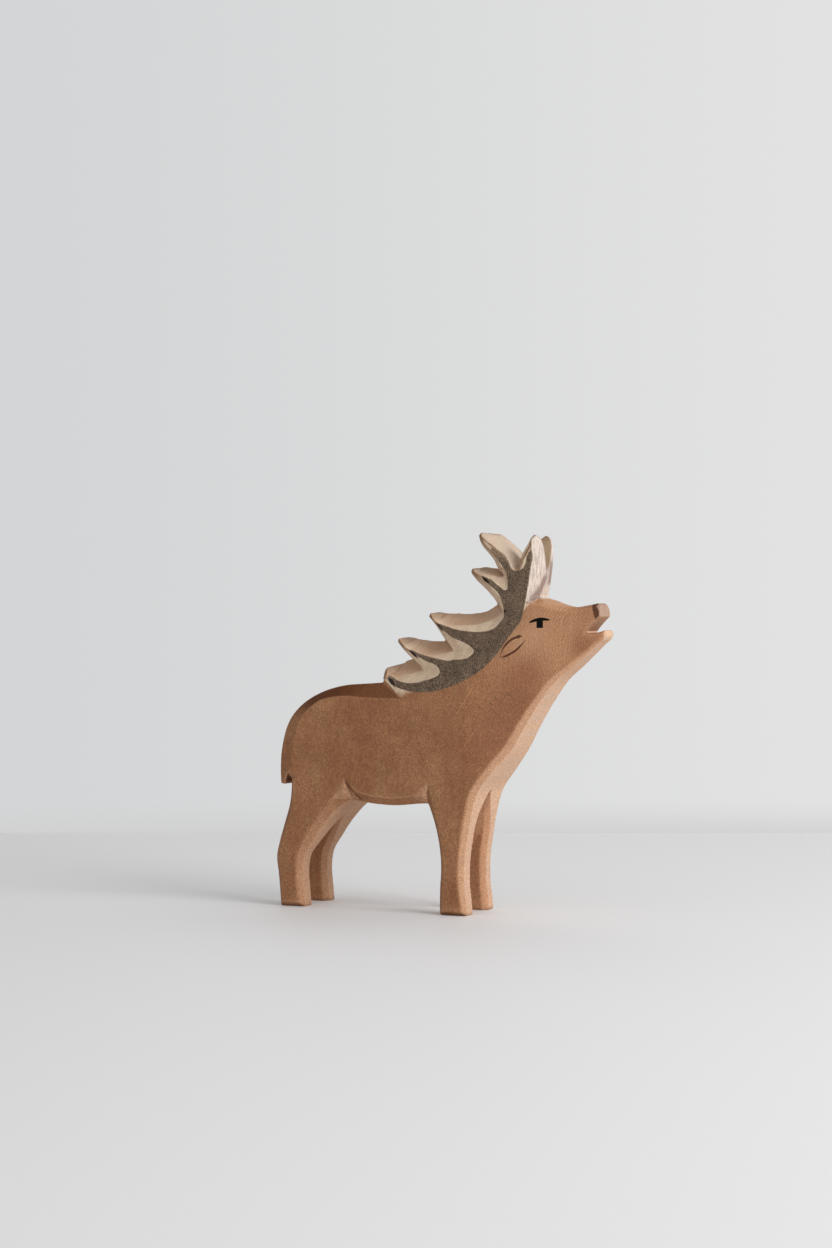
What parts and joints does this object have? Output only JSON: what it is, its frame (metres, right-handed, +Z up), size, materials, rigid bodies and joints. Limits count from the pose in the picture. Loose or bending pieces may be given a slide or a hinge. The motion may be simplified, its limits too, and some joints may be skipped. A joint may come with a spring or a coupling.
{
  "type": "wooden toy stag",
  "caption": "Standing stag sawn from one flat board, head raised and mouth open, with pointed antlers along the neck and split legs.",
  "frame": {"origin": "centre of the bounding box, on the plane of the soles", "axes": "+X towards the muzzle, +Y towards the stag's left side, +Z up"},
  "size_m": [0.1386, 0.03, 0.1495],
  "materials": {
    "stag": "stained and sanded, matt"
  },
  "bodies": {
    "root": {"stag": "stag"}
  },
  "joints": []
}
